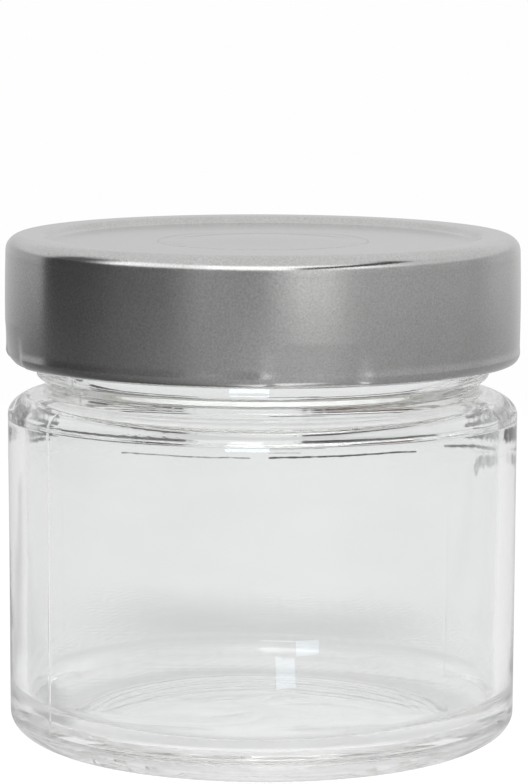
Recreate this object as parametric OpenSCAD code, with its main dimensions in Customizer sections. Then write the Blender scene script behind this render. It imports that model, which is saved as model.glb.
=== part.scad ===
// Straight-sided glass jar with a deep lug cap.
// Origin: centre of the face the jar stands on. +Z is up. Millimetres.

/* [Glass body] */
// Outside diameter of the body at the shoulder
body_d = 73.1; // [72:0.1:74]
// Outside diameter of the body just above the heel
base_d = 72.7; // [71.6:0.1:73]
// Inside diameter of the body
inside_d = 68.4; // [66:0.2:69]
// Height of the glass from the table to the sealing land
jar_h = 71.85; // [70:0.05:71.85]
// Height at which the shoulder meets the neck
shoulder_z = 50.84; // [49:0.02:51.2]
// Radial width of the rounded shoulder
shoulder_w = 5.2; // [4:0.1:5.2]
// Height of the rounded shoulder
shoulder_h = 3.1; // [2:0.1:5]
// Radial width of the rounded heel
heel_w = 9; // [6:0.2:9]
// Height of the rounded heel
heel_h = 4.8; // [3:0.2:7]
// Thickness of the glass floor at the standing ring
floor_t = 3.9; // [3:0.1:5]
// Rise of the underside in the middle
push_up = 1.2; // [0.6:0.1:2]

/* [Neck and finish] */
// Outside diameter of the neck under the finish
neck_d = 62.3; // [61.6:0.1:63]
// Diameter of the finish wall behind the threads
finish_d = 66; // [65.4:0.1:66.2]
// Diameter over the thread starts
thread_d = 68.8; // [68:0.1:69]
// Bore of the finish
bore_d = 59.2; // [57.8:0.1:60]
// Number of thread starts, and of lugs
starts = 4; // [3:1:4]
// Angle that one thread start spans
thread_span = 58; // [44:1:60]
// Fall of one thread start from end to end
thread_fall = 1.5; // [0.8:0.1:1.8]

/* [Cap] */
// Outside diameter of the cap
cap_d = 73.8; // [73.4:0.1:74.6]
// Height of the cap from the curl to the rim
cap_h = 18; // [17.6:0.1:18.2]
// Height of the rim above the table with the cap on
cap_top = 73.5; // [73.5:0.1:74]
// Thickness of the sheet
sheet = 0.3; // [0.2:0.05:0.35]
// Radius of the outer edge of the rim
rim_r = 2.4; // [1.6:0.1:2.6]
// Depth of the sunken panel below the rim
panel_sink = 1; // [0.7:0.1:1]
// Diameter of the sunken panel
panel_d = 60.8; // [60:0.2:61.2]
// Radial width of the curl at the bottom edge
curl_w = 2.1; // [1.8:0.1:2.1]
// Height of the curl
curl_h = 3; // [2.2:0.2:3.2]
// Angle that one lug spans
lug_span = 20; // [16:1:24]
// Radius to the inner edge of the lugs
lug_r = 33.4; // [33.3:0.1:34]
// Turn of the lugs about the axis
lug_turn = 12; // [0:1:44]

/* [Safety button] */
// Diameter of the pressed button
button_d = 29.7; // [26:0.1:32]
// Rise of the button's dome
button_rise = 0.6; // [0.3:0.05:0.8]
// Clearance between the button and the panel around it
button_gap = 0.12; // [0.08:0.02:0.2]

/* [Hidden] */
$fn = 96;

body_r = body_d / 2;
base_r = base_d / 2;
inside_r = inside_d / 2;
neck_r = neck_d / 2;
finish_r = finish_d / 2;
thread_r = thread_d / 2;
bore_r = bore_d / 2;
cap_r = cap_d / 2;
panel_r = panel_d / 2;
button_r = button_d / 2;
neck_bore_r = neck_r - 2.3;
stand_r = base_r - heel_w;        // outer edge of the standing ring
sink_r = stand_r - 2;             // inner edge of the standing ring
cap_bottom = cap_top - cap_h;
panel_z = cap_top - panel_sink;   // upper face of the panel
under_z = panel_z - sheet;        // lower face of the panel
channel_z = cap_top - sheet;      // lower face of the rim channel
curl_rad = curl_w / 2;
curl_z = cap_bottom + curl_h / 2;
lug_top = cap_bottom + 1.9;
thread_low = lug_top + 0.5;       // lowest underside of a thread start
land_gap = 0.05;                  // gasket to glass
slip = 0.06;                      // gasket to sheet

// Points of an elliptical arc in the r-z plane
function arc(cr, cz, ar, az, a0, a1, n) =
    [for (i = [0:n]) let (a = a0 + (a1 - a0) * i / n) [cr + ar * cos(a), cz + az * sin(a)]];
// A shallow dome: height at radius r
function dome(r, r_edge, rise) = rise * (1 - pow(r / r_edge, 2));

// Outside of the glass from the middle of the underside up to the sealing land
function jar_outside() = concat(
    [for (i = [0:6]) let (r = sink_r * i / 6) [r, dome(r, sink_r, push_up)]],
    arc(stand_r, heel_h, heel_w, heel_h, -90, 0, 16),
    arc(body_r - shoulder_w, shoulder_z - shoulder_h, shoulder_w, shoulder_h, 0, 78, 12),
    arc(neck_r + 0.9, shoulder_z + 0.9, 0.9, 0.9, -90, -180, 5),
    [[neck_r, shoulder_z + 1.25], [neck_r + 0.22, shoulder_z + 1.65], [finish_r - 0.75, shoulder_z + 2.5],
     [finish_r - 0.57, shoulder_z + 2.9], [finish_r - 0.52, shoulder_z + 5.5],
     [finish_r - 0.3, shoulder_z + 6.05], [finish_r, shoulder_z + 6.4]],
    arc(finish_r - 1.3, jar_h - 1.3, 1.3, 1.3, 0, 90, 8)
);

// Inside of the glass from the sealing land down to the middle of the floor
function jar_inside() = concat(
    arc(bore_r + 1.3, jar_h - 1.3, 1.3, 1.3, 90, 180, 8),
    [[bore_r, jar_h - 12], [neck_bore_r, shoulder_z + 3.2]],
    arc(neck_bore_r + 2.6, shoulder_z + 1.46, 2.6, 2.6, 180, 238, 8),
    arc(inside_r - 2.1, shoulder_z - 3.89, 2.1, 1.85, 57, 0, 10),
    arc(inside_r - 0.45 - 7.4, floor_t + 5.4, 7.4, 5.4, 0, -90, 16),
    [for (i = [5:-1:0]) let (r = (inside_r - 7.5) * i / 6) [r, floor_t + dome(r, inside_r - 7.5, 1)]]
);

// One thread start: a ridge that falls as it runs clockwise
module thread_start() {
    translate([0, 0, thread_low + thread_fall / 2])
    rotate([atan(thread_fall / (2 * thread_r * sin(thread_span / 2))), 0, 0])
    rotate([0, 0, -thread_span / 2])
    rotate_extrude(angle = thread_span)
    polygon([[finish_r - 0.7, -0.1], [thread_r - 0.3, 0], [thread_r, 0.4],
             [thread_r, 1.0], [thread_r - 0.5, 1.5], [finish_r - 0.7, 2.1]]);
}

module glass_jar() color([0.86, 0.9, 0.9, 0.45]) {
    rotate_extrude() polygon(concat(jar_outside(), jar_inside()));
    for (i = [0:starts - 1]) rotate([0, 0, lug_turn + 360 / starts * (i + 0.5)]) thread_start();
}

// Outer face of the cap from the button hole out, down and round the curl
function cap_outside() = concat(
    [[button_r + button_gap, panel_z], [panel_r - 0.5, panel_z], [panel_r, panel_z + 0.12],
     [panel_r + 0.7, cap_top - 0.14], [panel_r + 1.2, cap_top]],
    arc(cap_r - rim_r, cap_top - rim_r, rim_r, rim_r, 90, 0, 12),
    arc(cap_r - curl_rad, curl_z, curl_rad, curl_h / 2, 0, -180, 20),
    [[cap_r - curl_w, curl_z + 0.7], [cap_r - curl_w + 0.35, curl_z + 1.35]]
);

// Inner face of the cap from the end of the curl back to the button hole
function cap_inside() = concat(
    [[cap_r - curl_w + 0.6, curl_z + 1.18], [cap_r - curl_w + sheet, curl_z + 0.6]],
    arc(cap_r - curl_rad, curl_z, curl_rad - sheet, curl_h / 2 - sheet, -180, 0, 20),
    arc(cap_r - rim_r, cap_top - rim_r, rim_r - sheet, rim_r - sheet, 0, 90, 12),
    [[panel_r + 1.35, channel_z], [panel_r + 1.0, channel_z - 0.16], [panel_r + 0.22, under_z + 0.12],
     [panel_r - 0.4, under_z], [button_r + button_gap, under_z]]
);

// One lug: the curl pressed flat and inward
module lug() {
    rotate([0, 0, -lug_span / 2])
    rotate_extrude(angle = lug_span)
    polygon([[cap_r - curl_w + 0.15, cap_bottom + 0.5], [lug_r + 0.3, cap_bottom + 0.9], [lug_r, cap_bottom + 1.2],
             [lug_r, cap_bottom + 1.6], [lug_r + 0.3, lug_top], [cap_r - curl_w + 0.15, lug_top]]);
}

module lid_shell() color([0.68, 0.68, 0.67]) {
    rotate_extrude() polygon(concat(cap_outside(), cap_inside()));
    for (i = [0:starts - 1]) rotate([0, 0, lug_turn + 360 / starts * i]) lug();
}

// Compound flowed into the channel, flush with the face that meets the glass
module sealing_gasket() color([0.9, 0.88, 0.82])
    rotate_extrude() polygon(concat(
        [[panel_r - 0.7, jar_h + land_gap], [cap_r - 1.6, jar_h + land_gap]],
        [[cap_r - 1.2, jar_h + land_gap - 0.5], [cap_r - sheet - slip, jar_h + land_gap - 1.0]],
        arc(cap_r - rim_r, cap_top - rim_r, rim_r - sheet - slip, rim_r - sheet - slip, 0, 90, 10),
        [[panel_r + 1.4, channel_z - slip], [panel_r + 1.06, channel_z - 0.16 - slip],
         [panel_r + 0.26, under_z + 0.1 - slip], [panel_r - 0.4, under_z - slip], [panel_r - 0.7, under_z - slip]]
    ));

// The pressed middle of the panel: a bead round the edge and a low dome
function button_top(r) = panel_z + (r > button_r - 2 ? 0.12 * sin((button_r - r) * 90) : dome(r, button_r - 2, button_rise));
module safety_button() color([0.7, 0.7, 0.69])
    rotate_extrude() polygon(concat(
        [for (i = [0:14]) let (r = (button_r - 2) * i / 14) [r, button_top(r)]],
        [for (i = [1:8]) let (r = button_r - 2 + i / 4) [r, button_top(r)]],
        [for (i = [8:-1:1]) let (r = button_r - 2 + i / 4) [r, button_top(r) - sheet]],
        [for (i = [14:-1:0]) let (r = (button_r - 2) * i / 14) [r, button_top(r) - sheet]]
    ));

glass_jar();
lid_shell();
sealing_gasket();
safety_button();
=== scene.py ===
import math

import bpy
import numpy as np
from mathutils import Matrix, Vector


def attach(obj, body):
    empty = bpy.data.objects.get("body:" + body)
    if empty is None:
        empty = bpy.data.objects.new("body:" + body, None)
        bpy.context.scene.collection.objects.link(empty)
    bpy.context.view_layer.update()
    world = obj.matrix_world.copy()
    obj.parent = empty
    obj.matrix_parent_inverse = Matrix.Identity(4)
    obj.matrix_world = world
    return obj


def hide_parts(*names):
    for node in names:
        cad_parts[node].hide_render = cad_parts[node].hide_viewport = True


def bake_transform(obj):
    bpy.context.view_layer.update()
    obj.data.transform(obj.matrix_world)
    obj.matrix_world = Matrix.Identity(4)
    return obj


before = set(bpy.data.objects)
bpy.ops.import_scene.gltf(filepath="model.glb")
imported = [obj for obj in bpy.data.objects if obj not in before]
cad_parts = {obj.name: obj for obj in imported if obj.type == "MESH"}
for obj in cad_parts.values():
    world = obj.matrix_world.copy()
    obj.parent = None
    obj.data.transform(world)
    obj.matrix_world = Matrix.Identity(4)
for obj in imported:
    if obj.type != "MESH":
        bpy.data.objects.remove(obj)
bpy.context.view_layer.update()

MM = 0.001
PHOTO_W, PHOTO_H = 528, 784

# ---------------------------------------------------------------- the camera
# A pinhole fit of the photograph's outlines: distance, height, turns in radians, focal length in pixels.
CAM_AWAY, CAM_HEIGHT = 0.57110, 0.12169
PITCH, YAW, ROLL, FOCAL = 0.12375, 0.00035, 0.00314, 4003.6

cam = bpy.data.objects.new("camera", bpy.data.cameras.new("camera"))
bpy.context.scene.collection.objects.link(cam)
fwd = Vector((math.sin(YAW) * math.cos(PITCH), math.cos(YAW) * math.cos(PITCH), -math.sin(PITCH)))
right = Vector((math.cos(YAW), -math.sin(YAW), 0))
up = right.cross(fwd)
r2 = math.cos(ROLL) * right + math.sin(ROLL) * up
u2 = -math.sin(ROLL) * right + math.cos(ROLL) * up
m = Matrix((r2, u2, -fwd)).transposed().to_4x4()
m.translation = Vector((0, -CAM_AWAY, CAM_HEIGHT))
cam.matrix_world = m
cam.data.sensor_fit = "AUTO"
cam.data.sensor_width = 36
cam.data.lens = FOCAL * 36 / max(PHOTO_W, PHOTO_H)
cam.data.clip_start, cam.data.clip_end = 0.02, 20
bpy.context.scene.camera = cam


# ---------------------------------------------------------------- mesh code
def smooth(a, b, x):
    t = np.clip((x - a) / (b - a), 0, 1)
    return t * t * (3 - 2 * t)


def arc(cr, cz, ar, az, a0, a1, n):
    a = np.radians(np.linspace(a0, a1, n + 1))
    return np.stack([cr + ar * np.cos(a), cz + az * np.sin(a)], 1)


def line(p, q, n):
    """Points from p towards q, both ends in."""
    t = np.linspace(0, 1, n + 1)[:, None]
    return np.array(p) * (1 - t) + np.array(q) * t


def chain(*runs):
    """Runs of profile points joined, with doubled points dropped."""
    out = [runs[0][0]]
    for run in runs:
        for p in run:
            if math.hypot(p[0] - out[-1][0], p[1] - out[-1][1]) > 1e-4:
                out.append(p)
    return np.array(out)


def angles(count, seams=(), near=(0.1, 0.2, 0.32, 0.48, 0.7)):
    a = set(np.round(np.arange(count) * 360 / count, 5))
    for s in seams:
        a = {x for x in a if abs((x - s + 180) % 360 - 180) > near[-1] + 0.1}
        a |= {round((s + k * d) % 360, 5) for d in near for k in (-1, 1)} | {round(s % 360, 5)}
    return np.array(sorted(a))


def make(name, verts, faces, body=None, second=None):
    """second gives the faces that take the piece's second material."""
    mesh = bpy.data.meshes.new(name)
    mesh.from_pydata((np.asarray(verts) * MM).tolist(), [], faces)
    mesh.polygons.foreach_set("use_smooth", [True] * len(mesh.polygons))
    if second is not None:
        mesh.polygons.foreach_set("material_index", second)
    mesh.validate()
    mesh.update()
    o = bpy.data.objects.new(name, mesh)
    bpy.context.scene.collection.objects.link(o)
    if body:
        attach(o, body)
    return o


def revolve(name, prof, turn, shape=None, closed=False):
    """A surface of revolution. An open profile starts and ends on the axis; shape moves its points."""
    ring = prof if closed else prof[1:-1]
    R, A = np.meshgrid(ring[:, 0], np.radians(turn), indexing="ij")
    Z = np.repeat(ring[:, 1:2], len(turn), 1)
    if shape:
        R, Z = shape(R, Z, np.degrees(A))
    n, w = R.shape
    verts = np.stack([R * np.cos(A), R * np.sin(A), Z], 2).reshape(-1, 3).tolist()
    faces = []
    for i in range(n if closed else n - 1):
        k = (i + 1) % n
        for j in range(w):
            l = (j + 1) % w
            faces.append((i * w + j, i * w + l, k * w + l, k * w + j))
    if not closed:
        first, last = len(verts), len(verts) + 1
        verts += [[0, 0, prof[0, 1]], [0, 0, prof[-1, 1]]]
        for j in range(w):
            l = (j + 1) % w
            faces.append((first, l, j))
            faces.append((last, (n - 1) * w + j, (n - 1) * w + l))
    return verts, faces


def waves(seed, A, Z, turns, lengths, size):
    """A smooth, seamless unevenness: a few sines round the jar and up it."""
    rng = np.random.default_rng(seed)
    out = np.zeros_like(A)
    for k in turns:
        for l in lengths:
            out += rng.normal() * np.sin(np.radians(A) * k + Z * 2 * math.pi / l + rng.uniform(0, 6.28))
    return out * size / math.sqrt(len(turns) * len(lengths))


# ---------------------------------------------------------------- nodes
def material(name):
    mat = bpy.data.materials.new(name)
    mat.use_nodes = True
    nt = mat.node_tree
    return mat, nt, nt.nodes["Principled BSDF"]


def add(nt, kind, ins=None, **props):
    node = nt.nodes.new(kind)
    for k, v in props.items():
        setattr(node, k, v)
    for k, v in (ins or {}).items():
        if isinstance(v, bpy.types.NodeSocket):
            nt.links.new(v, node.inputs[k])
        else:
            node.inputs[k].default_value = v
    return node


def math_node(nt, op, a, b=None, c=None, clamp=False):
    node = nt.nodes.new("ShaderNodeMath")
    node.operation = op
    node.use_clamp = clamp
    for i, v in enumerate((a, b, c)):
        if v is None:
            continue
        if isinstance(v, bpy.types.NodeSocket):
            nt.links.new(v, node.inputs[i])
        else:
            node.inputs[i].default_value = v
    return node.outputs[0]


def ramp(nt, fac, stops, mode="LINEAR"):
    node = nt.nodes.new("ShaderNodeValToRGB")
    node.color_ramp.interpolation = mode
    el = node.color_ramp.elements
    while len(el) > 1:
        el.remove(el[-1])
    for i, (p, c) in enumerate(stops):
        e = el[0] if i == 0 else el.new(p)
        e.position = p
        e.color = (c, c, c, 1) if not isinstance(c, tuple) else (*c, 1)
    nt.links.new(fac, node.inputs[0])
    return node.outputs[0]


def remap(nt, v, a, b, c, d, kind="LINEAR"):
    node = nt.nodes.new("ShaderNodeMapRange")
    node.interpolation_type = kind
    nt.links.new(v, node.inputs[0])
    for i, x in enumerate((a, b, c, d)):
        node.inputs[1 + i].default_value = x
    return node.outputs[0]


# ---------------------------------------------------------------- the glass
BODY_R, BASE_R, NECK_R, FINISH_R = 36.55, 36.35, 31.15, 33.0
SHOULDER_Z, JAR_H = 50.84, 71.85
SEAMS = (215.5, 35.5)
LUG_TURN = 12.0


def glass_profile():
    outside = chain(
        np.array([[r, 1.2 * (1 - (r / 25.35) ** 2)] for r in np.linspace(0, 24.6, 22)]),
        np.array([[24.95, 0.10], [25.25, 0.03], [25.6, 0.0]]),
        line((25.9, 0.0), (27.2, 0.0), 5),
        arc(27.35, 4.8, 9.0, 4.8, -89, 0, 56),
        line((BASE_R, 4.8), (BODY_R, SHOULDER_Z - 3.1), 56),
        arc(BODY_R - 5.2, SHOULDER_Z - 3.1, 5.2, 3.1, 0, 79, 44),
        arc(NECK_R + 0.9, SHOULDER_Z + 0.9, 0.9, 0.9, -92, -180, 9),
        np.array([[31.15, 52.0], [31.16, 52.15], [31.20, 52.28], [31.29, 52.42], [31.44, 52.58], [31.63, 52.76], [31.83, 52.94],
                  [32.02, 53.10], [32.18, 53.24], [32.31, 53.38], [32.40, 53.54], [32.44, 53.72], [32.45, 54.0]]),
        line((32.45, 54.3), (32.48, 56.3), 8),
        np.array([[32.50, 56.5], [32.60, 56.75], [32.78, 56.95], [32.92, 57.1], [FINISH_R, 57.25]]),
        line((FINISH_R, 57.3), (FINISH_R, 62.6), 44),
        line((FINISH_R, 62.9), (FINISH_R, 68.3), 8),
        np.array([[33.0, 68.6], [32.9, 68.9], [32.75, 69.3], [32.75, 69.8]]),
        arc(JAR_H * 0 + 31.65, JAR_H - 1.1, 1.1, 1.1, 0, 90, 12),
    )
    inside = chain(
        arc(30.9, JAR_H - 1.3, 1.3, 1.3, 90, 180, 14),
        line((29.6, 70.2), (29.6, 60.2), 14),
        line((29.55, 59.6), (28.85, 54.0), 12),
        line((28.85, 53.4), (28.85, 52.4), 4),
        arc(31.45, 52.3, 2.6, 2.6, 180, 238, 22),
        line((30.1, 50.08), (32.75, 48.45), 14),
        arc(32.1, 46.95, 2.1, 1.85, 57, 0, 26),
        line((34.2, 46.6), (33.75, 9.6), 60),
        arc(26.35, 9.3, 7.4, 5.4, 0, -90, 50),
        np.array([[r, 3.9 + 1.0 * (1 - (r / 26.35) ** 2)] for r in np.linspace(25.9, 0, 30)]),
    )
    return np.vstack([outside, inside]), len(outside)


def glass_shape(split):
    """Seams, thread starts, the stippled standing ring and the unevenness of moulded glass."""
    def shape(R, Z, A):
        rows = np.arange(R.shape[0])[:, None] + 1
        out = (rows < split) * 1.0
        R0, Z0 = R.copy(), Z.copy()
        # mould seams: fine ridges up the body, the neck and the finish
        for s, size in zip(SEAMS, (1.0, 0.35)):
            d = np.abs((A - s + 180) % 360 - 180)
            ridge = np.exp(-(d / 0.24) ** 2)
            tall = smooth(4.0, 6.0, Z0) * (0.05 - 0.015 * smooth(47, 50, Z0))
            R = R + out * ridge * tall * size * (R0 > 28)
            step = np.tanh(((A - s + 180) % 360 - 180) / 0.25) * np.exp(-(d / 3.0) ** 2)
            R = R + out * step * 0.008 * size * smooth(4.0, 6.0, Z0) * (Z0 < 50)
        # thread starts
        for k in range(4):
            d = (A - (LUG_TURN + 45 + 90 * k) + 180) % 360 - 180
            u = Z0 - (57.9 + 0.75 + 1.5 * d / 58)
            ridge = smooth(-0.15, 0.5, u) * (1 - smooth(0.95, 1.95, u))
            ends = 1 - smooth(24.5, 29, np.abs(d))
            R = R + out * 1.38 * ridge * ends * (R0 > 32.9) * (Z0 > 57)
        # stipple on the standing ring: short grooves that only go up into the glass
        band = np.exp(-((R0 - 26.6) / 0.95) ** 4) * out * (Z0 < 1.0)
        groove = 0.5 + 0.5 * np.cos(np.radians(A) * 150)
        Z = Z + band * groove ** 2 * 0.16
        # moulded glass isn't quite true, less so inside, where no mould touched it
        wall = smooth(5, 12, Z0) * (1 - smooth(40, 46, Z0))
        R = R + out * wall * waves(3, A, Z0, (2, 3, 5), (60, 37), 0.012)
        inner = (1 - out)
        R = R + inner * wall * waves(11, A, Z0, (1, 2, 3, 5), (80, 45), 0.06)
        R = R + inner * smooth(42, 47, Z0) * (1 - smooth(50, 54, Z0)) * waves(23, A, Z0, (2, 3, 5), (30, 18), 0.02)
        floor = inner * (Z0 < 12) * smooth(2, 14, R0)
        Z = Z + floor * waves(31, A, R0, (1, 2, 3), (50, 30), 0.025)
        under = out * (Z0 < 1.3) * (R0 < 25) * smooth(2, 8, R0) * (1 - smooth(22, 25, R0))
        Z = Z + under * np.abs(waves(37, A, R0, (2, 3, 5), (40, 26), 0.015))
        Z = np.maximum(Z, 0)
        return R, Z
    return shape


prof, split = glass_profile()
verts, faces = revolve("jar_glass", prof, angles(300, SEAMS), glass_shape(split))
jar = make("jar_glass", verts, faces, "jar")
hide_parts("glass_jar")

mat, nt, bsdf = material("clear_glass")
bsdf.inputs["Transmission Weight"].default_value = 1.0
bsdf.inputs["IOR"].default_value = 1.52
co = add(nt, "ShaderNodeTexCoord").outputs["Object"]
bsdf.inputs["Roughness"].default_value = 0.0
tint = add(nt, "ShaderNodeTexNoise", {"Vector": co, "Scale": 60.0, "Detail": 2.0, "Roughness": 0.5})
cr = ramp(nt, tint.outputs["Fac"], [(0.3, (0.867, 0.873, 0.872)), (0.7, (0.885, 0.891, 0.889))])
nt.links.new(cr, bsdf.inputs["Base Color"])
ripple = add(nt, "ShaderNodeTexNoise", {"Vector": co, "Scale": 90.0, "Detail": 1.5, "Roughness": 0.45})
seeds = add(nt, "ShaderNodeTexVoronoi", {"Vector": co, "Scale": 70.0, "Randomness": 1.0})
dot = remap(nt, seeds.outputs["Distance"], 0.0, 0.035, 1.0, 0.0, "SMOOTHSTEP")
height = math_node(nt, "ADD", math_node(nt, "MULTIPLY", ripple.outputs["Fac"], 0.6), math_node(nt, "MULTIPLY", dot, 0.25))
bump = add(nt, "ShaderNodeBump", {"Strength": 0.22, "Distance": 0.0004, "Height": height})
nt.links.new(bump.outputs[0], bsdf.inputs["Normal"])
jar.data.materials.append(mat)

# ---------------------------------------------------------------- the cap
CAP_R, CAP_TOP, CAP_LOW, HOLE_R = 36.9, 73.5, 55.5, 15.0


def cap_profile():
    outside = chain(
        np.array([[HOLE_R, 72.50], [15.3, 72.485], [15.7, 72.47], [16.3, 72.48], [17.5, 72.5]]),
        line((18.5, 72.5), (28.8, 72.5), 8),
        np.array([[29.4, 72.5], [29.9, 72.505], [30.2, 72.54], [30.45, 72.63], [30.7, 72.79], [30.9, 72.97], [31.1, 73.15],
                  [31.3, 73.3], [31.55, 73.41], [31.85, 73.475], [32.2, 73.5]]),
        line((32.6, 73.5), (34.2, 73.5), 4),
        arc(CAP_R - 2.45, CAP_TOP - 2.45, 2.45, 2.45, 90, 3, 30),
        line((CAP_R, 70.6), (CAP_R, 57.4), 44),
        arc(CAP_R - 1.05, 57.0, 1.05, 1.5, 0, -180, 36),
        np.array([[34.8, 57.3], [34.82, 57.7], [34.92, 58.1], [35.1, 58.38], [35.25, 58.42]]),
    )
    inside = chain(
        np.array([[35.38, 58.30], [35.36, 58.1], [35.2, 57.8], [35.1, 57.5], [35.1, 57.2]]),
        arc(CAP_R - 1.05, 57.0, 0.75, 1.2, -180, 0, 28),
        line((CAP_R - 0.3, 57.6), (CAP_R - 0.3, 70.8), 16),
        arc(CAP_R - 2.45, CAP_TOP - 2.45, 2.15, 2.15, 0, 90, 16),
        np.array([[33.0, 73.2], [32.2, 73.2], [31.75, 73.14], [31.4, 72.98], [31.1, 72.7], [30.8, 72.45], [30.5, 72.28], [30.0, 72.2]]),
        line((29.0, 72.2), (16.0, 72.2), 8),
        np.array([[15.3, 72.2], [HOLE_R, 72.2]]),
    )
    return np.vstack([outside, inside]), len(outside)


def cap_shape(R, Z, A):
    R0, Z0 = R.copy(), Z.copy()
    lug = np.zeros_like(R)
    for k in range(4):
        d = np.abs((A - (LUG_TURN + 90 * k) + 180) % 360 - 180)
        lug = np.maximum(lug, 1 - smooth(8.5, 12.5, d))
    low = np.clip((61.5 - Z0) / 6, 0, 1)
    outer = smooth(35.6, 36.3, R0)
    # the corner of the curl is drawn in where the lug is pressed
    R = R - lug * outer * 0.55 * low ** 1.3
    inner = (1 - smooth(34.9, 35.7, R0)) * (Z0 < 59) * (R0 > 34)
    R = R - lug * inner * 1.38 * (1 - smooth(57.2, 58.3, Z0) * 0.6)
    Z = Z - lug * inner * smooth(56.6, 58.4, Z0) * 1.0
    # the drawn wall is a touch fuller in the middle, and eases in under the rim
    wall = smooth(56.5, 58, Z0) * (1 - smooth(71.2, 72.4, Z0)) * (R0 > 35)
    R = R - wall * np.minimum((Z0 - 64) ** 2 / 500, 0.085)
    R = R + wall * waves(5, A, Z0, (2, 3, 5, 7), (50, 21), 0.010)
    # the panel isn't perfectly flat
    panel = (R0 < 30) * smooth(15.5, 19, R0) * (1 - smooth(26, 29.5, R0))
    Z = Z + panel * waves(7, A, R0, (1, 2, 3, 5), (24, 15), 0.012)
    return R, Z


prof, split = cap_profile()
verts, faces = revolve("cap_sheet", prof, angles(360), cap_shape, closed=True)
cap = make("cap_sheet", verts, faces, "cap", [int(split + 33 <= i // 360 < len(prof) - 1) for i in range(len(faces))])
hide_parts("lid_shell")

mat, nt, bsdf = material("satin_silver_lacquer")
co = add(nt, "ShaderNodeTexCoord").outputs["Object"]
grain = add(nt, "ShaderNodeTexNoise", {"Vector": co, "Scale": 3600.0, "Detail": 3.0, "Roughness": 0.6})
cloud = add(nt, "ShaderNodeTexNoise", {"Vector": co, "Scale": 160.0, "Detail": 4.0, "Roughness": 0.55})
mixed = math_node(nt, "ADD", math_node(nt, "MULTIPLY", grain.outputs["Fac"], 0.85), math_node(nt, "MULTIPLY", cloud.outputs["Fac"], 0.15))
cr = ramp(nt, mixed, [(0.33, (0.54, 0.54, 0.535)), (0.5, (0.625, 0.625, 0.62)), (0.67, (0.70, 0.70, 0.695))])
nt.links.new(cr, bsdf.inputs["Base Color"])
bsdf.inputs["Metallic"].default_value = 1.0
rough = remap(nt, cloud.outputs["Fac"], 0.3, 0.7, 0.145, 0.175)
nt.links.new(rough, bsdf.inputs["Roughness"])
bsdf.inputs["Coat Weight"].default_value = 0.25
bsdf.inputs["Coat Roughness"].default_value = 0.09
bump = add(nt, "ShaderNodeBump", {"Strength": 0.3, "Distance": 0.00002, "Height": grain.outputs["Fac"]})
soft = add(nt, "ShaderNodeBump", {"Strength": 0.06, "Distance": 0.00015, "Height": cloud.outputs["Fac"], "Normal": bump.outputs[0]})
nt.links.new(soft.outputs[0], bsdf.inputs["Normal"])
cap.data.materials.append(mat)
lacquer = mat

mat, nt, bsdf = material("white_enamel")
co = add(nt, "ShaderNodeTexCoord").outputs["Object"]
n1 = add(nt, "ShaderNodeTexNoise", {"Vector": co, "Scale": 300.0, "Detail": 3.0, "Roughness": 0.55})
cr = ramp(nt, n1.outputs["Fac"], [(0.3, (0.90, 0.90, 0.885)), (0.7, (0.93, 0.93, 0.915))])
nt.links.new(cr, bsdf.inputs["Base Color"])
rough = remap(nt, n1.outputs["Fac"], 0.3, 0.7, 0.28, 0.38)
nt.links.new(rough, bsdf.inputs["Roughness"])
bump = add(nt, "ShaderNodeBump", {"Strength": 0.15, "Distance": 0.00005, "Height": n1.outputs["Fac"]})
nt.links.new(bump.outputs[0], bsdf.inputs["Normal"])
cap.data.materials.append(mat)
enamel = mat


# ---------------------------------------------------------------- the safety button
def button_profile():
    def top(r):
        dome = 0.6 * (1 - np.minimum(r / 12.9, 1) ** 2)
        bead = 0.10 * np.exp(-((r - 13.9) / 0.55) ** 2)
        return 72.5 + dome + bead
    r = np.concatenate([np.linspace(0, 12.2, 30), np.linspace(12.4, HOLE_R, 22)])
    upper = np.stack([r, top(r)], 1)
    # the underside is flat, so that the dome never dips through it when it is pressed
    lower = np.stack([r, r * 0 + 72.2], 1)
    return np.vstack([lower, upper[::-1]]), len(r)


prof, split = button_profile()
verts, faces = revolve("button_dome", prof, angles(180))
rows = [i // 180 for i in range(len(faces) - 360)] + [0, len(prof)] * 180
button = make("button_dome", verts, faces, second=[int(k < split - 1) for k in rows])
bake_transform(button)
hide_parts("safety_button")
button.data.materials.append(lacquer)
button.data.materials.append(enamel)


# ---------------------------------------------------------------- the gasket
def gasket_profile():
    return chain(
        np.array([[29.75, 71.95], [30.1, 71.91]]),
        line((30.6, 71.9), (35.0, 71.9), 10),
        np.array([[35.3, 71.85], [35.6, 71.62], [35.9, 71.32], [36.3, 70.98], [36.5, 70.92]]),
        arc(34.45, 71.05, 2.06, 2.06, 0, 90, 14),
        np.array([[33.0, 73.1], [32.3, 73.1], [31.85, 73.05], [31.5, 72.88], [31.2, 72.6], [30.9, 72.36], [30.5, 72.18],
                  [30.1, 72.12], [29.75, 72.12]]),
    )


def gasket_shape(R, Z, A):
    face = (Z < 71.99) & (R < 35.2)
    Z = Z + face * np.maximum(waves(13, A, R, (3, 5, 9, 14), (9, 5), 0.008), -0.02)
    return R, Z


verts, faces = revolve("gasket_ring", gasket_profile(), angles(240), gasket_shape, closed=True)
gasket = make("gasket_ring", verts, faces, "gasket")
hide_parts("sealing_gasket")

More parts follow.
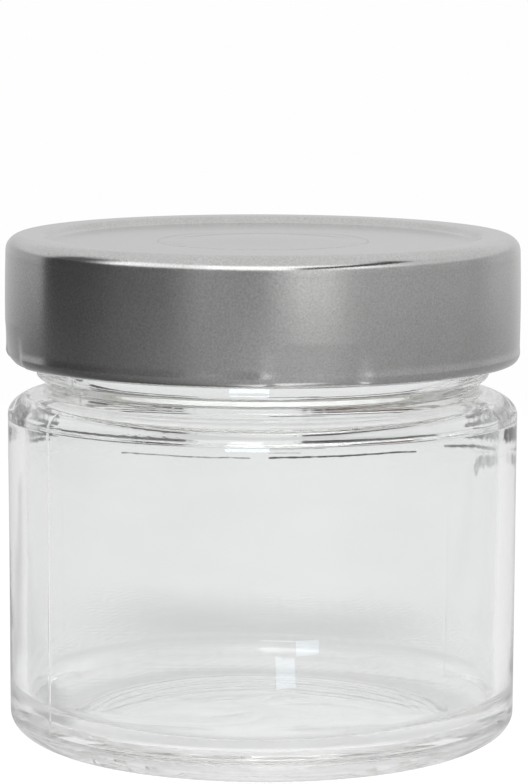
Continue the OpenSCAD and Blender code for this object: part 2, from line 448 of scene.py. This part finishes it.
mat, nt, bsdf = material("cream_compound")
co = add(nt, "ShaderNodeTexCoord").outputs["Object"]
n1 = add(nt, "ShaderNodeTexNoise", {"Vector": co, "Scale": 420.0, "Detail": 4.0, "Roughness": 0.6})
cr = ramp(nt, n1.outputs["Fac"], [(0.3, (0.70, 0.67, 0.59)), (0.7, (0.78, 0.755, 0.68))])
nt.links.new(cr, bsdf.inputs["Base Color"])
rough = remap(nt, n1.outputs["Fac"], 0.3, 0.7, 0.48, 0.62)
nt.links.new(rough, bsdf.inputs["Roughness"])
bump = add(nt, "ShaderNodeBump", {"Strength": 0.3, "Distance": 0.00006, "Height": n1.outputs["Fac"]})
nt.links.new(bump.outputs[0], bsdf.inputs["Normal"])
gasket.data.materials.append(mat)


# ---------------------------------------------------------------- the floor
def disc(radius, rings, sides):
    verts, faces = [(0, 0, 0)], []
    for i in range(1, rings + 1):
        r = radius * i / rings
        verts += [(r * math.cos(2 * math.pi * j / sides), r * math.sin(2 * math.pi * j / sides), 0) for j in range(sides)]
    for j in range(sides):
        faces.append((0, 1 + j, 1 + (j + 1) % sides))
    for i in range(rings - 1):
        for j in range(sides):
            a, b = 1 + i * sides + j, 1 + i * sides + (j + 1) % sides
            faces.append((a, a + sides, b + sides, b))
    return verts, faces


verts, faces = disc(420, 12, 96)
floor = make("floor", verts, faces)
floor.location.z = -0.00002
floor.visible_glossy = False
mat, nt, bsdf = material("pale_floor")
co = add(nt, "ShaderNodeTexCoord").outputs["Object"]
n1 = add(nt, "ShaderNodeTexNoise", {"Vector": co, "Scale": 40.0, "Detail": 3.0})
cr = ramp(nt, n1.outputs["Fac"], [(0.3, (0.22, 0.22, 0.22)), (0.7, (0.24, 0.24, 0.24))])
nt.links.new(cr, bsdf.inputs["Base Color"])
bsdf.inputs["Roughness"].default_value = 0.9
bsdf.inputs["Specular IOR Level"].default_value = 0.1
bsdf.inputs["Emission Color"].default_value = (1, 1, 1, 1)
away = add(nt, "ShaderNodeVectorMath", {0: co}, operation="LENGTH").outputs["Value"]
# painted light: the floor glows brighter right under the jar than further out
under = add(nt, "ShaderNodeMapRange", {0: away, 1: 0.021, 2: 0.027, 3: 0.88, 4: 0.79}, interpolation_type="SMOOTHSTEP").outputs[0]
# the enamel inside the lid is lit from the floor, so its light counts for more there
lift = math_node(nt, "MULTIPLY_ADD", math_node(nt, "GREATER_THAN", add(nt, "ShaderNodeLightPath").outputs["Diffuse Depth"], 0.5), 3.8, 1.0)
nt.links.new(math_node(nt, "MULTIPLY", under, lift), bsdf.inputs["Emission Strength"])
fade = remap(nt, away, 0.2, 0.41, 0.0, 1.0, "SMOOTHSTEP")
clear = add(nt, "ShaderNodeBsdfTransparent")
mix = add(nt, "ShaderNodeMixShader", {0: fade, 1: bsdf.outputs[0], 2: clear.outputs[0]})
nt.links.new(mix.outputs[0], nt.nodes["Material Output"].inputs["Surface"])
floor.data.materials.append(mat)

# Painted dark reflections and painted shadow that only show through the glass: a ring of sheets close round
# the jar's back and one farther out, painted with dark reflections, and a painted shadow on the ground.
# Each stroke: points, half width in mm, softness, tone, strength. On the rings a point is in degrees round from the
# front and mm up.
BLACK, BROWN = (0.012, 0.010, 0.010), (0.13, 0.045, 0.025)


def grey(v):
    return (v, v, v)


RING_R = 38.5
# painted dark reflections in the glass, on sheets close round the jar
RING = [
    # the shoulder at the left
    ([(279, 48.6), (272, 48.4), (266, 48.2)], 1.3, 0.5, grey(0.12), 0.75),
    ([(264, 47.7), (258, 48.2), (250, 48.6), (243, 48.3), (237, 47.2)], 1.1, 0.4, grey(0.07), 0.85),
    ([(265, 44.0), (258, 43.5), (250, 43.2), (245, 43.1), (240, 42.9)], 0.8, 0.4, grey(0.05), 0.85),
    ([(264, 42.7), (255, 42.0), (246, 41.6)], 0.25, 0.5, BLACK, 0.9),
    ([(247, 46.4), (243.6, 45.4)], 1.3, 0.3, BLACK, 1.0),
    ([(246, 50), (246.3, 44)], 0.35, 0.4, BLACK, 0.95),
    # thin lines under the shoulder
    ([(178.3, 35.55), (171, 35.65), (164, 35.9), (156, 36.45), (148, 37.15), (140, 37.7)], 0.17, 0.4, BLACK, 0.95),
    ([(178.3, 36.6), (171, 36.65)], 0.12, 0.5, BLACK, 0.5),
    ([(183, 35.6), (195, 35.9), (205, 36.6), (216, 37.4)], 0.12, 0.5, grey(0.05), 0.6),
    # the shoulder at the right, and the painted dark patch below it
    ([(80, 48.6), (88, 48.4), (95, 48)], 1.1, 0.6, grey(0.18), 0.65),
    ([(96, 46.8), (102, 47.5), (108, 48.3), (113, 48.2), (118, 46.5)], 1.0, 0.5, grey(0.10), 0.80),
    ([(84, 45.0), (93, 44.4), (102, 43.7), (110, 43.3), (116, 43.1), (121, 43)], 1.05, 0.4, grey(0.12), 0.90),
    ([(97, 41.6), (104, 41.2), (112, 40.7), (120, 40.2), (130, 39.5)], 0.22, 0.5, grey(0.05), 0.8),
    ([(115.5, 37.0), (114.3, 38.0), (110, 38.7), (104, 39.2), (98, 40.0), (93, 40.8)], 0.85, 0.4, grey(0.14), 0.55),
]
FAR_R = 80.0
# painted dark reflections in the glass, on sheets farther out
FAR = [
    # the long lens-shaped outline left of the middle
    ([(205, 53), (202, 53), (199, 53), (194.5, 53.5)], 7.2, 0.1, BLACK, 1.0),
    ([(194.5, 53), (193, 53), (190.5, 53)], 2.4, 0.4, BLACK, 0.8),
    # and the two right of it
    ([(178.6, 41.5), (173, 40.8)], 1.1, 0.4, BLACK, 0.8),
    ([(171, 54.0), (166, 54.0), (162.5, 54.0), (160.3, 53)], 5.8, 0.12, BLACK, 1.0),
    ([(170, 62), (165, 63), (162.3, 62)], 4.4, 0.25, BROWN, 0.95),
]
# painted shadow and shade on the ground, seen only through the glass
GROUND = [
    # points in mm across and away from the camera
    ([(-34, 48), (0, 56), (34, 48)], 13, 1.0, grey(0.3), 0.18),
    ([(-9, 86), (10, 86)], 22, 1.0, grey(0.3), 0.30),
    ([(-67, 62), (-100, 112), (-146, 180)], 13, 1.0, grey(0.25), 0.32),
    ([(-36, 18), (-34.5, 6), (-33.5, -6), (-31.5, -15)], 3.2, 0.7, grey(0.15), 0.40),
    ([(32 * math.sin(a / 8 * math.pi), 32 * math.cos(a / 8 * math.pi)) for a in range(17)], 4.5, 0.9, grey(0.2), 0.26),
]


def painted(points, strokes):
    """Colour and cover of the strokes, laid one over the other, at each point."""
    tone, cover = np.zeros((len(points), 3)), np.zeros(len(points))
    u, v = points[:, 0], points[:, 1]
    ragged = 0.5 * np.sin(2.3 * u + 1.7 * np.sin(1.9 * v)) + 0.3 * np.sin(5.1 * u + 2.2 * v) + 0.3 * np.sin(7.9 * v + 0.7)
    for line_points, half, soft, colour, strength in strokes:
        away = np.full(len(points), 1e9)
        for a, b in zip(line_points[:-1], line_points[1:]):
            a, b = np.array(a), np.array(b)
            t = np.clip(((points - a) @ (b - a)) / ((b - a) @ (b - a)), 0, 1)
            away = np.minimum(away, np.hypot(*(points - a - t[:, None] * (b - a)).T))
        w = half * (1 + 0.3 * ragged)
        k = strength * (1 - smooth(w * (1 - soft), w * (1 + soft), away))
        tone = tone * (1 - k[:, None]) + np.array(colour) * k[:, None]
        cover = 1 - (1 - cover) * (1 - k)
    return np.concatenate([tone / np.maximum(cover, 1e-6)[:, None], cover[:, None]], 1)


def veil_sheet(name, verts, faces, rgba, least=0.75, most=1.5):
    """A see-through sheet of painted reflections and shadow that shows only through the glass, its empty faces left
    out.
    """
    faces = [f for f in faces if max(rgba[k, 3] for k in f) > 0.004]
    used = sorted({k for f in faces for k in f})
    place = {k: i for i, k in enumerate(used)}
    sheet = make(name, [verts[k] for k in used], [tuple(place[k] for k in f) for f in faces])
    sheet.data.attributes.new("tone", "FLOAT_COLOR", "POINT").data.foreach_set("color", rgba[used].ravel())
    sheet.visible_camera = sheet.visible_diffuse = sheet.visible_glossy = sheet.visible_shadow = False
    mat, nt, _ = material(name)
    tone = add(nt, "ShaderNodeAttribute", attribute_name="tone")
    co = add(nt, "ShaderNodeTexCoord").outputs["Object"]
    cloud = add(nt, "ShaderNodeTexNoise", {"Vector": co, "Scale": 700.0, "Detail": 3.0, "Roughness": 0.6})
    cover = math_node(nt, "MULTIPLY", tone.outputs["Alpha"], remap(nt, cloud.outputs["Fac"], 0.35, 0.6, least, most), clamp=True)
    glow = add(nt, "ShaderNodeEmission", {"Color": tone.outputs["Color"]})
    clear = add(nt, "ShaderNodeBsdfTransparent")
    mix = add(nt, "ShaderNodeMixShader", {0: cover, 1: clear.outputs[0], 2: glow.outputs[0]})
    nt.links.new(mix.outputs[0], nt.nodes["Material Output"].inputs["Surface"])
    sheet.data.materials.append(mat)
    return sheet


def lattice(n, w):
    return [(i * w + j, (i + 1) * w + j, (i + 1) * w + j + 1, i * w + j + 1) for i in range(n - 1) for j in range(w - 1)]


for name, radius, strokes, turns, rises in (
        ("ring_painted_reflections", RING_R, RING, np.arange(76, 284, 0.3), np.concatenate([np.arange(3, 34, 0.4), np.arange(34, 38, 0.08), np.arange(38, 52, 0.2)])),
        ("far_painted_reflections", FAR_R, FAR, np.arange(154, 209, 0.15), np.arange(33, 68, 0.25))):
    mm = radius * math.pi / 180
    A, Z = (q.ravel() for q in np.meshgrid(turns, rises, indexing="ij"))
    sheet = veil_sheet(name, np.stack([radius * np.sin(np.radians(A)), -radius * np.cos(np.radians(A)), Z], 1).tolist(), lattice(len(turns), len(rises)),
                       painted(np.stack([A * mm, Z], 1), [([(a * mm, z) for a, z in pts], *rest) for pts, *rest in strokes]))
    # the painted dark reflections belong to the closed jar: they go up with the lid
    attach(sheet, "gasket")
X, Y = (q.ravel() for q in np.meshgrid(np.arange(-180, 63.0, 1.2), np.arange(-40, 218.0, 1.2), indexing="ij"))
veil_sheet("ground_shade", np.stack([X, Y, X * 0 + 0.12], 1).tolist(), lattice(203, 215), painted(np.stack([X, Y], 1), GROUND), 0.97, 1.06)

# Bluish window panes lie in front and show only as reflections in the wall; the last is the brightest.
PANES = [((11.2, -129.5), (28.0, -126.0), (22.3, -101.5), (9.2, -103.5), 3.2), ((33.0, -141.0), (54.0, -133.0), (48.5, -120.5), (30.0, -127.5), 3.0),
         ((-112, -392), (23, -410), (20, -357), (-98, -345), 6.5)]
verts, faces, glows = [], [], []
for *pane, bright in PANES:
    a, b, c, d = (Vector((*q, 0.3)) for q in pane)
    glows += [bright] * 49
    first = len(verts)
    for i in range(7):
        for j in range(7):
            u, v = i / 6, j / 6
            verts.append(tuple((a * (1 - u) + b * u) * (1 - v) + (d * (1 - u) + c * u) * v))
    faces += [(first + i * 7 + j, first + i * 7 + 7 + j, first + i * 7 + 8 + j, first + i * 7 + j + 1) for i in range(6) for j in range(6)]
panes = make("window_panes", verts, faces)
panes.data.attributes.new("glow", "FLOAT", "POINT").data.foreach_set("value", glows)
panes.visible_camera = panes.visible_diffuse = panes.visible_shadow = False
mat, nt, bsdf = material("window_light")
co = add(nt, "ShaderNodeTexCoord").outputs["Object"]
cloud = add(nt, "ShaderNodeTexNoise", {"Vector": co, "Scale": 60.0, "Detail": 3.0, "Roughness": 0.6})
straight = math_node(nt, "SUBTRACT", 1.0, add(nt, "ShaderNodeLightPath").outputs["Is Transmission Ray"])
power = math_node(nt, "MULTIPLY", add(nt, "ShaderNodeAttribute", attribute_name="glow").outputs["Fac"], straight)
glow = add(nt, "ShaderNodeEmission", {"Color": ramp(nt, cloud.outputs["Fac"], [(0.3, (0.5, 0.8, 1.0)), (0.7, (0.85, 0.95, 1.0))]), "Strength": power})
clear = add(nt, "ShaderNodeBsdfTransparent")
both = add(nt, "ShaderNodeAddShader", {0: glow.outputs[0], 1: clear.outputs[0]})
nt.links.new(both.outputs[0], nt.nodes["Material Output"].inputs["Surface"])
panes.data.materials.append(mat)
# the panes light the glass only, not the metal
lit = bpy.data.collections.new("lit_by_panes")
lit.objects.link(jar)
panes.light_linking.receiver_collection = lit

# ---------------------------------------------------------------- the studio light
world = bpy.data.worlds.new("studio")
bpy.context.scene.world = world
world.use_nodes = True
world.cycles.sampling_method = "NONE"
nt = world.node_tree
nt.nodes.clear()
co = add(nt, "ShaderNodeTexCoord").outputs["Generated"]
sep = add(nt, "ShaderNodeSeparateXYZ", {0: co})
x, y, z = sep.outputs[0], sep.outputs[1], sep.outputs[2]
az = math_node(nt, "ARCTAN2", x, math_node(nt, "MULTIPLY", y, -1.0))
turn = math_node(nt, "ADD", math_node(nt, "MULTIPLY", az, 1 / (2 * math.pi)), 0.5)
rise = math_node(nt, "MULTIPLY", math_node(nt, "ARCSINE", z), 180 / math.pi)


def at(deg):
    return deg / 360 + 0.5


def world_mix(fac, a, b):
    node = nt.nodes.new("ShaderNodeMix")
    node.data_type = "RGBA"
    for k, v in ((0, fac), (6, a), (7, b)):
        if isinstance(v, bpy.types.NodeSocket):
            nt.links.new(v, node.inputs[k])
        elif k:
            node.inputs[k].default_value = v if isinstance(v, tuple) else (v, v, v, 1)
        else:
            node.inputs[k].default_value = v
    return node.outputs[2]


def band(v, a, b, c, d):
    """1 between b and c, and 0 below a and above d."""
    return math_node(nt, "MULTIPLY", remap(nt, v, a, b, 0.0, 1.0, "SMOOTHSTEP"), remap(nt, v, c, d, 1.0, 0.0, "SMOOTHSTEP"))


# The studio seen by the satin metal: the room at the height of the cap's wall, above it and below it.
UPPER = [(-180, 0.66), (-165, 0.63), (-150, 0.55), (-138, 0.50), (-127, 0.46), (-115.5, 0.45), (-112, 0.08), (-105, 0.065), (-91, 0.07), (-79, 0.085),
         (-65, 0.135), (-45, 0.165), (-38, 0.21), (-28, 0.37), (-17, 0.37), (-8, 0.31), (0, 0.36), (8, 0.62), (17, 0.86), (30, 0.80), (38, 0.56),
         (46, 0.50), (65, 0.48), (94, 0.47), (110, 0.45), (125, 0.57), (142, 0.58), (160, 0.68), (180, 0.66)]
LOWER = [(-180, 0.55), (-165, 0.46), (-150, 0.38), (-138, 0.28), (-127, 0.205), (-116, 0.15), (-105, 0.110), (-91, 0.105), (-79, 0.130),
         (-65, 0.165), (-52, 0.205), (-40, 0.255), (-28, 0.33), (-17, 0.36), (-6, 0.43), (5, 0.51), (17, 0.53), (30, 0.52), (44, 0.43),
         (65, 0.39), (94, 0.365), (110, 0.355), (125, 0.40), (142, 0.44), (160, 0.52), (180, 0.55)]
HIGH = [(-180, 0.76), (-125, 0.72), (-114, 0.68), (-108, 0.12), (-88, 0.12), (-80, 0.6), (-72, 1.5), (-50, 1.3), (-36, 1.2), (-24, 1.7), (45, 1.7), (56, 1.1),
        (75, 0.75), (96, 0.72), (120, 0.74), (150, 0.76), (180, 0.76)]
upper = ramp(nt, turn, [(at(a), v) for a, v in UPPER])
lower = ramp(nt, turn, [(at(a), v) for a, v in LOWER])
high = ramp(nt, turn, [(at(a), v) for a, v in HIGH])
env = world_mix(remap(nt, rise, -8.5, -3.0, 0.0, 1.0, "SMOOTHSTEP"), lower, upper)
env = world_mix(remap(nt, rise, 9.0, 20.0, 0.0, 1.0, "SMOOTHSTEP"), env, high)
env = world_mix(remap(nt, rise, 34.0, 52.0, 0.0, 1.0, "SMOOTHSTEP"), env, 0.80)
# a thin dark bar slants up to the right over the cap's rim, and a light one lies low under its curl
slant = math_node(nt, "SUBTRACT", rise, remap(nt, turn, at(15), at(85), 20.0, 50.0))
env = world_mix(math_node(nt, "MULTIPLY", band(slant, -9.0, -6.0, 6.0, 9.0), band(turn, at(10), at(20), at(78), at(92))), env, 0.04)
env = world_mix(math_node(nt, "MULTIPLY", band(rise, -89.0, -80.0, -62.0, -52.0), band(turn, at(-25), at(-5), at(35), at(50))), env, 1.2)
# The same studio as it shows through the glass: a lit ground behind, darker at the left.
THRU = [(-180, 1.0), (-150, 0.98), (-135, 0.96), (-122, 0.85), (-112, 0.60), (-95, 0.55), (-80, 0.75), (-60, 0.93), (0, 0.97), (90, 0.95), (150, 0.98), (180, 1.0)]
thru = ramp(nt, turn, [(at(a), v) for a, v in THRU])
thru = world_mix(remap(nt, rise, 10.0, 22.0, 0.0, 1.0, "SMOOTHSTEP"), thru, 0.96)
# the far edge of the ground, thin and faint
EDGE = [(-180, 0.85), (-172, 0.66), (-160, 0.72), (-145, 0.60), (-125, 0.72), (125, 0.78), (145, 0.62), (160, 0.74), (172, 0.64), (180, 0.85)]
edge = ramp(nt, turn, [(at(a), v) for a, v in EDGE])
thru = world_mix(band(rise, -2.4, -1.2, 1.0, 2.2), thru, edge)
thru = world_mix(math_node(nt, "MULTIPLY", band(turn, at(-20), at(-17), at(-1), at(2)), band(rise, 24.0, 29.0, 48.0, 54.0)), thru, 7.0)
lp = add(nt, "ShaderNodeLightPath")
out = world_mix(lp.outputs["Is Transmission Ray"], env, thru)
out = world_mix(math_node(nt, "GREATER_THAN", lp.outputs["Diffuse Depth"], 0.5), out, 4.2)
out = world_mix(lp.outputs["Is Diffuse Ray"], out, 1.05)
out = world_mix(lp.outputs["Is Camera Ray"], out, 0.99)
bg = add(nt, "ShaderNodeBackground", {"Color": out, "Strength": 1.0})
wo = add(nt, "ShaderNodeOutputWorld")
nt.links.new(bg.outputs[0], wo.inputs["Surface"])

scene = bpy.context.scene
scene.view_settings.view_transform = "Standard"
scene.view_settings.look = "None"
scene.view_settings.exposure = 0.0
scene.view_settings.gamma = 1.0
scene.cycles.max_bounces = 96
scene.cycles.transmission_bounces = 96
scene.cycles.glossy_bounces = 96
scene.cycles.transparent_max_bounces = 12
